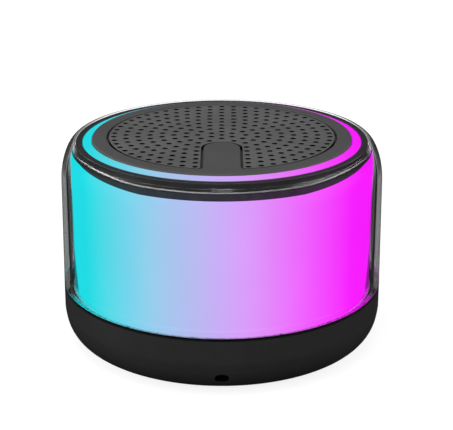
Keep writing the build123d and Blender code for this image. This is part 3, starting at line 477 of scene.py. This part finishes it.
def spline(points, count):
    """Catmull-Rom through the points."""
    pts = [Vector(p) for p in points]
    pts = [pts[0] * 2 - pts[1]] + pts + [pts[-1] * 2 - pts[-2]]
    out = []
    for i in range(1, len(pts) - 2):
        p0, p1, p2, p3 = pts[i - 1:i + 3]
        for k in range(count):
            t = k / count
            q = 0.5 * (2 * p1 + (p2 - p0) * t + (2 * p0 - 5 * p1 + 4 * p2 - p3) * t * t
                       + (3 * p1 - p0 - 3 * p2 + p3) * t ** 3)
            out.append((q.x, q.y))
    return out + [tuple(pts[-2])]


wall = [(outer_r - 0.02 + (shoulder_r - outer_r + 0.02) * t / 8, cover_z0 + 0.28 + (shoulder_z - cover_z0 - 0.28) * t / 8)
        for t in range(8)]
shoulder = [superellipse(a, lip_r, shoulder_r - lip_r, shoulder_z, lip_z - shoulder_z, 1.125) for a in range(0, 77, 4)]
# the inside runs parallel to the outside, and the shoulder is thinner than the wall
inside = []
for i in range(1, len(shoulder)):
    d = (Vector(shoulder[i]) - Vector(shoulder[i - 1])).normalized()
    t = 1.25
    mid = (Vector(shoulder[i]) + Vector(shoulder[i - 1])) / 2 - Vector((d.y, -d.x)) * t
    if mid.x > 38.55:
        inside.append((mid.x, mid.y))
lip = [(38.86, 54.68), (38.7, 54.71), (38.55, 54.69), (38.44, 54.59), (38.4, 54.45)]
inside = inside[::-1] + [(cover_in_r, 42.5), (cover_in_r, 30.0), (cover_in_r, 17.75), (cover_in_r - 0.06, 17.55),
                         (40.36, 17.06), (40.3, 16.9)]
foot = [(40.3, 14.2), (41.1, 14.2), (41.1, cover_z0), (outer_r - 0.3, cover_z0), (outer_r - 0.18, cover_z0 + 0.03),
        (outer_r - 0.07, cover_z0 + 0.12)]
section = foot + wall + shoulder + lip + inside
first_in = len(foot + wall + shoulder + lip) - 1
cover = piece(lathe("clear_cover_moulding", section, 384, 40), CLEAR, "clear_plastic", "clear_cover")
cover.data.materials.append(CLEAR_IN)
cover.data.materials.append(CLEAR_FOOT)
for i, poly in enumerate(cover.data.polygons):
    k = i % len(section)
    poly.material_index = 1 if k >= first_in or k == 0 else (2 if 2 <= k <= 5 else 0)

tube = rounded([(38.0, 14.9), (39.7, 14.9, 0.1), (39.7, 50.3, 0.4), (38.75, 51.85), (36.35, 51.85), (36.35, 54.4, 0.1),
                (34.35, 55.26, 0.12), (34.28, 49.05), (38.0, 49.05, 0.3)])
light = piece(lathe("light_tube", tube, 320), MILKY, "milky_plastic", "light_diffuser")

trim = rounded([(38.9, 51.9, 0.06), (38.3, 53.1), (38.2, 54.6, 0.42), (36.45, 54.6, 0.18), (36.45, 51.9)])
ring = piece(lathe("black_trim_ring", trim, 320), TRIM, "trim_plastic", "trim_ring")

seal = rounded([(41.27, 15.66, 0.05), (42.3, 15.66, 0.12), (42.3, 15.96, 0.12), (41.27, 15.96, 0.05)], 3)
gasket = piece(lathe("cover_seal", seal, 320), SEAL, "black_seal", "cover_gasket")


# ---------------------------------------------------------------- flexible rings of the driver
def arc(x0, z0, xm, zm, x1, z1, count):
    """Points of the circle through three points, from the first up to the last."""
    ax, ay, bx, by = xm - x0, zm - z0, x1 - x0, z1 - z0
    d = 2 * (ax * by - ay * bx)
    ux = (by * (ax * ax + ay * ay) - ay * (bx * bx + by * by)) / d
    uy = (ax * (bx * bx + by * by) - bx * (ax * ax + ay * ay)) / d
    cx, cz, r = x0 + ux, z0 + uy, math.hypot(ux, uy)
    a0, am, a1 = (math.atan2(z - cz, x - cx) for x, z in ((x0, z0), (xm, zm), (x1, z1)))
    turn = (a1 - a0) % (2 * math.pi)
    if (am - a0) % (2 * math.pi) > turn:
        turn -= 2 * math.pi
    return [(cx + r * math.cos(a0 + turn * k / count), cz + r * math.sin(a0 + turn * k / count))
            for k in range(count + 1)]


def flexible_ring(name, section, material, node, sectors=16, steps=12):
    """A ring made of separate sector meshes, running from the rim to the hub."""
    n = len(section)
    for k in range(sectors):
        verts, faces = [], []
        for j in range(steps + 1):
            a = 2 * math.pi * (k + j / steps) / sectors
            verts += [(r * MM * math.cos(a), r * MM * math.sin(a), z * MM) for r, z in section]
        for j in range(steps):
            for i in range(n):
                a, b = j * n + i, j * n + (i + 1) % n
                faces.append((a, a + n, b + n, b))
        ob = mesh_object(f"{name}_{k + 1:02d}", verts, faces, 40)
        ob.data.materials.append(material)
        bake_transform(ob)
        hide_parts(node)


half_roll = arc(21.2, 50.5, 19.8, 51.9, 18.4, 50.5, 14)
under_roll = arc(18.65, 50.12, 19.8, 51.5, 20.95, 50.12, 12)
flexible_ring("surround_roll", [(22.4, 50.1), (22.4, 50.5)] + half_roll + [(17.2, 50.5), (17.2, 50.12)] + under_roll
              + [(20.97, 50.1)], RUBBER, "driver_surround")
wave = [(8.2 + 0.45 * i, 43.69 - 0.14 * math.cos(math.pi * i / 2)) for i in range(17)]
low = [(6.95, 43.55)] + wave + [(15.5, 43.42), (17.2, 43.42)]
flexible_ring("spider_wave", low + [(r, z + 0.3) for r, z in reversed(low)], COTTON, "driver_spider")

# ---------------------------------------------------------------- perforated grille
def grille_mesh():
    """Plate with a notch for the tongue and rings of holes, every top edge rounded over."""
    plate_r, z0, z1, hole_r, pitch, rings = 29.52, 54.25, 55.42, 0.78, 3.14, 9
    half, tab_y, corner = 4.62 + 0.64, -11.57, 0.8
    lips = [(0.0, -0.08), (0.025, -0.025), (0.08, 0.0)]     # (away from the edge, below the top)

    def outline(inset):
        """Edge of the plate, moved inwards, anticlockwise."""
        r, w, c = plate_r - inset, half + inset, corner
        # corner arcs where the notch meets the rim
        cx = w + c
        cy = -math.sqrt((r - c) ** 2 - cx ** 2)
        a_rim = math.atan2(cy, cx)
        pts = []
        n = 220
        for k in range(n + 1):
            a = a_rim + (math.pi + 2 * (-math.pi / 2 - a_rim) + math.pi) * k / n
            pts.append((r * math.cos(a), r * math.sin(a)))
        start = math.pi - a_rim
        for k in range(1, 9):                                              # left corner
            a = math.pi - a_rim + (2 * math.pi - (math.pi - a_rim)) * k / 8
            pts.append((-cx + c * math.cos(a), cy + c * math.sin(a)))
        for k in range(1, 12):
            pts.append((-w, cy + (tab_y - cy) * k / 12))
        for k in range(0, 33):
            a = math.pi - math.pi * k / 32
            pts.append((w * math.cos(a), tab_y + w * math.sin(a)))
        for k in range(1, 12):
            pts.append((w, tab_y + (cy - tab_y) * k / 12))
        for k in range(0, 8):                                              # right corner
            a = math.pi + (a_rim + 2 * math.pi - math.pi) * k / 8
            pts.append((cx + c * math.cos(a), cy + c * math.sin(a)))
        return pts

    holes = []
    for ring in range(rings + 1):
        count = max(1, 6 * ring)
        for i in range(count):
            a = math.radians(90 + 360 * i / count)
            x, y = ring * pitch * math.cos(a), ring * pitch * math.sin(a)
            to_tab = abs(x) if y < tab_y else math.hypot(x, y - tab_y)
            if to_tab > 6.3:
                holes.append((x, y))
    seg = 20

    def circle(c, r):
        return [(c[0] + r * math.cos(2 * math.pi * k / seg), c[1] + r * math.sin(2 * math.pi * k / seg))
                for k in range(seg)]

    verts, faces, dark = [], [], set()

    def loop(points, z):
        base = len(verts)
        verts.extend((x * MM, y * MM, z * MM) for x, y in points)
        return list(range(base, base + len(points)))

    def skin(a, b):
        n = len(a)
        for i in range(n):
            faces.append((a[i], a[(i + 1) % n], b[(i + 1) % n], b[i]))

    top_loops, bottom_loops = [], []
    edge = [loop(outline(0), z0)] + [loop(outline(d), z1 + dz) for d, dz in lips]
    dark.update(range(len(edge[0])))
    for lo, hi in zip(edge, edge[1:]):
        skin(lo, hi)
    top_loops.append(edge[-1])
    bottom_loops.append(edge[0])
    for h in holes:
        rows = [loop(circle(h, hole_r), z0)] + [loop(circle(h, hole_r + d), z1 + dz) for d, dz in lips]
        dark.update(range(len(faces), len(faces) + seg))
        for lo, hi in zip(rows, rows[1:]):
            skin(hi, lo)
        top_loops.append(rows[-1])
        bottom_loops.append(rows[0])

    def fill(loops, up):
        ids = [i for l in loops for i in l]
        place = {v: k for k, v in enumerate(ids)}
        co = [Vector((verts[i][0] * 1000, verts[i][1] * 1000)) for i in ids]
        edges = [(place[l[i]], place[l[(i + 1) % len(l)]]) for l in loops for i in range(len(l))]
        made = delaunay_2d_cdt(co, edges, [], 0, 1e-6)
        origin = [o[0] if o else None for o in made[3]]
        rim = verts
        limit = hole_r + (lips[-1][0] if up else 0.0)
        d_in = lips[-1][0] if up else 0.0
        for tri in made[2]:
            c = sum((made[0][i] for i in tri), Vector((0, 0))) / 3
            if any((c.x - h[0]) ** 2 + (c.y - h[1]) ** 2 < (limit * 0.97) ** 2 for h in near(c)):
                continue
            w = half + d_in
            if (abs(c.x) < w and c.y < tab_y) or math.hypot(c.x, c.y - tab_y) < w * 0.995:
                continue
            if not inside(c, outline_top if up else outline_bottom):
                continue
            t = tuple(ids[origin[i]] for i in tri)
            faces.append(t if up else t[::-1])

    grid = {}
    for h in holes:
        grid.setdefault((int(h[0] // 4), int(h[1] // 4)), []).append(h)

    def near(c):
        gx, gy = int(c.x // 4), int(c.y // 4)
        return [h for i in (-1, 0, 1) for j in (-1, 0, 1) for h in grid.get((gx + i, gy + j), [])]

    def inside(c, poly):
        hit, n = False, len(poly)
        for i in range(n):
            x0, y0 = poly[i]
            x1, y1 = poly[(i + 1) % n]
            if (y0 > c.y) != (y1 > c.y) and c.x < (x1 - x0) * (c.y - y0) / (y1 - y0) + x0:
                hit = not hit
        return hit

    outline_top, outline_bottom = outline(lips[-1][0]), outline(0)
    fill(top_loops, True)
    fill(bottom_loops, False)
    return verts, faces, dark


verts, faces, dark = grille_mesh()
grille = piece(mesh_object("perforated_grille", verts, faces, 50), GRILLE, "grille_plastic", "grille")
grille.data.materials.append(BORE_SHADE)          # the bore walls are painted near black: painted shade for the dark inside of the holes
for i in dark:
    grille.data.polygons[i].material_index = 1

# ---------------------------------------------------------------- stage, lights, camera
scene = bpy.context.scene
scene.view_settings.view_transform = "Standard"


def floor_material():
    n = Nodes("floor_pale")
    lp = n.new("ShaderNodeLightPath")
    n.p.inputs["Base Color"].default_value = (0.22, 0.22, 0.22, 1)
    n.p.inputs["Emission Color"].default_value = (1, 1, 1, 1)
    n.set(rough=0.8, spec=0.0)
    n.p.inputs["Emission Strength"].default_value = 0.86
    dark = n.new("ShaderNodeBsdfDiffuse")
    dark.inputs["Color"].default_value = (0.18, 0.18, 0.18, 1)
    mix = n.new("ShaderNodeMixShader")
    n.link(lp.outputs["Is Camera Ray"], mix.inputs[0])
    n.link(dark.outputs[0], mix.inputs[1])
    n.link(n.p.outputs[0], mix.inputs[2])
    clear = n.new("ShaderNodeBsdfTransparent")
    geo = n.new("ShaderNodeNewGeometry")
    under = n.new("ShaderNodeMixShader")
    # no light is lost in the gap between the speaker and the floor, so its underside isn't black from below
    spot = n.new("ShaderNodeVectorMath", operation="LENGTH")
    n.link(n.tc.outputs["Object"], spot.inputs[0])
    gap = n.math("MULTIPLY", n.math("LESS_THAN", spot.outputs["Value"], 0.0365), lp.outputs["Is Diffuse Ray"])
    n.link(n.math("MAXIMUM", geo.outputs["Backfacing"], gap), under.inputs[0])
    n.link(mix.outputs[0], under.inputs[1])
    n.link(clear.outputs[0], under.inputs[2])
    n.link(under.outputs[0], n.out.inputs["Surface"])
    return n.mat


span = 6.0
fl = bpy.data.meshes.new("floor")
fl.from_pydata([(-span, -span, 0), (span, -span, 0), (span, span, 0), (-span, span, 0)], [], [(0, 1, 2, 3)])
floor = bpy.data.objects.new("floor", fl)
scene.collection.objects.link(floor)
floor.data.materials.append(floor_material())
floor.location.z = -0.0001
floor.visible_glossy = False
floor.visible_transmission = False

world = bpy.data.worlds.new("studio")
scene.world = world
world.use_nodes = True
nt = world.node_tree
nt.nodes.clear()


def wnode(kind, **props):
    n = nt.nodes.new(kind)
    for k, v in props.items():
        setattr(n, k, v)
    return n


def wmath(op, a, b=None, c=None):
    m = wnode("ShaderNodeMath", operation=op)
    for i, v in enumerate((a, b, c)):
        if v is None:
            continue
        if isinstance(v, (int, float)):
            m.inputs[i].default_value = v
        else:
            nt.links.new(v, m.inputs[i])
    return m.outputs[0]


def wmap(value, a0, a1, b0, b1):
    m = wnode("ShaderNodeMapRange", interpolation_type="SMOOTHSTEP")
    for k, v in zip((1, 2, 3, 4), (a0, a1, b0, b1)):
        m.inputs[k].default_value = v
    nt.links.new(value, m.inputs[0])
    return m.outputs[0]


tc = wnode("ShaderNodeTexCoord")
sx = wnode("ShaderNodeSeparateXYZ")
nt.links.new(tc.outputs["Generated"], sx.inputs[0])
elev = wmath("MULTIPLY", wmath("ARCSINE", sx.outputs["Z"]), 57.29578)
azim = wmath("MULTIPLY", wmath("ARCTAN2", sx.outputs["X"], wmath("MULTIPLY", sx.outputs["Y"], -1.0)), 57.29578)  # 0 = front
side = wmath("ABSOLUTE", azim)


def band(value, a, b, soft):
    return wmath("MULTIPLY", wmap(value, a - soft, a + soft, 0, 1), wmap(value, b - soft, b + soft, 1, 0))


lp = wnode("ShaderNodeLightPath")
# what polished surfaces see: a dim room, a long soft box in front above, and pale panels at the sides
back = wmath("SUBTRACT", 180.0, side)                    # 0 = straight behind
room = wmap(elev, -12, 70, 0.025, 0.04)
# a long tube light bent round the front: its height drops towards the sides
height = wnode("ShaderNodeValToRGB")
el = height.color_ramp.elements
tube_light = [(0, 39.0), (30, 37.6), (47, 35.5), (65, 31.8), (75, 30.0), (90, 28.7), (100, 28.0), (112, 25.5),
              (127, 19.5), (140, 12.0)]
while len(el) < len(tube_light):
    el.new(0.5)
for e, (at, up) in zip(el, tube_light):
    e.position = at / 180
    e.color = (up / 90, up / 90, up / 90, 1)
nt.links.new(wmath("DIVIDE", side, 180.0), height.inputs["Fac"])
off = wmath("SUBTRACT", elev, wmath("MULTIPLY", height.outputs["Color"], 90.0))
front_box = wmath("MULTIPLY", wmath("MULTIPLY", band(off, -2.1, 2.1, 1.0), wmap(side, 128, 142, 1, 0)),
                  wmap(azim, -60, 60, 8.0, 4.6))
small_box = wmath("MULTIPLY", wmath("MULTIPLY", band(elev, 50.5, 54, 1.0), wmap(side, 8, 11, 1, 0)), 6.0)
side_box = wmath("MULTIPLY", wmath("MULTIPLY", band(off, 6.2, 8.8, 0.8), wmap(azim, 50, 75, 0, 1)), 3.5)
low_box = wmath("ADD", small_box, wmath("MULTIPLY", side_box, wmap(side, 128, 142, 1, 0)))
panels = wmath("MULTIPLY", wmath("MULTIPLY", band(side, 62, 118, 6), band(elev, 0, 50, 5)), 0.12)
# the pale backdrop, kept off the top of the speaker by a flag: only what comes through the clear cover sees it
back_panel = wmath("MULTIPLY", wmath("MULTIPLY", wmap(back, 23, 30, 1, 0), band(elev, -45, 34, 6)), 0.8)
back_panel = wmath("MULTIPLY", back_panel, wmath("GREATER_THAN", lp.outputs["Transparent Depth"], 0.5))
mirror = wmath("ADD", wmath("ADD", wmath("ADD", room, low_box), front_box), wmath("ADD", panels, back_panel))
# the floor hides the lower half, which lights the underside when the speaker is looked at from below
soft = wmath("ADD", wmap(elev, -10, 80, 0.08, 0.6), wmap(elev, -42, -16, 0.8, 0.0))

pick = wnode("ShaderNodeMix", data_type="FLOAT")
nt.links.new(lp.outputs["Is Diffuse Ray"], pick.inputs[0])
nt.links.new(mirror, pick.inputs[2])
nt.links.new(soft, pick.inputs[3])
final = wnode("ShaderNodeMix", data_type="FLOAT")
nt.links.new(lp.outputs["Is Camera Ray"], final.inputs[0])
nt.links.new(pick.outputs[0], final.inputs[2])
final.inputs[3].default_value = 1.0
bg = wnode("ShaderNodeBackground")
nt.links.new(final.outputs[0], bg.inputs["Strength"])
bg.inputs["Color"].default_value = (1, 1, 1, 1)
wo = wnode("ShaderNodeOutputWorld")
nt.links.new(bg.outputs[0], wo.inputs["Surface"])


def area(name, place, size, energy, look_at=(0, 0, 0.03), glossy=False):
    data = bpy.data.lights.new(name, "AREA")
    data.shape = "RECTANGLE"
    data.size, data.size_y = size
    data.energy = energy
    ob = bpy.data.objects.new(name, data)
    scene.collection.objects.link(ob)
    ob.location = place
    ob.rotation_euler = (Vector(look_at) - Vector(place)).to_track_quat("-Z", "Y").to_euler()
    ob.visible_glossy = glossy
    ob.visible_camera = False
    return ob


area("key_overhead", (-0.15, -0.25, 0.95), (0.7, 0.7), 4.2)
area("fill_front", (-0.3, -0.85, 0.35), (0.6, 0.4), 0.62)
area("side_left", (-0.75, -0.25, 0.16), (0.3, 0.5), 1.1)
area("rim_right", (0.75, 0.12, 0.16), (0.3, 0.5), 1.3)

cam_data = bpy.data.cameras.new("camera")
cam = bpy.data.objects.new("camera", cam_data)
scene.collection.objects.link(cam)
cam.location = (0.0, -0.3527, 0.1588)
cam.rotation_euler = (math.radians(70.38), 0, 0)
cam_data.sensor_width = 36.0
cam_data.lens = 111.2
cam_data.shift_x = 0.0103
cam_data.clip_start, cam_data.clip_end = 0.01, 50.0
scene.camera = cam
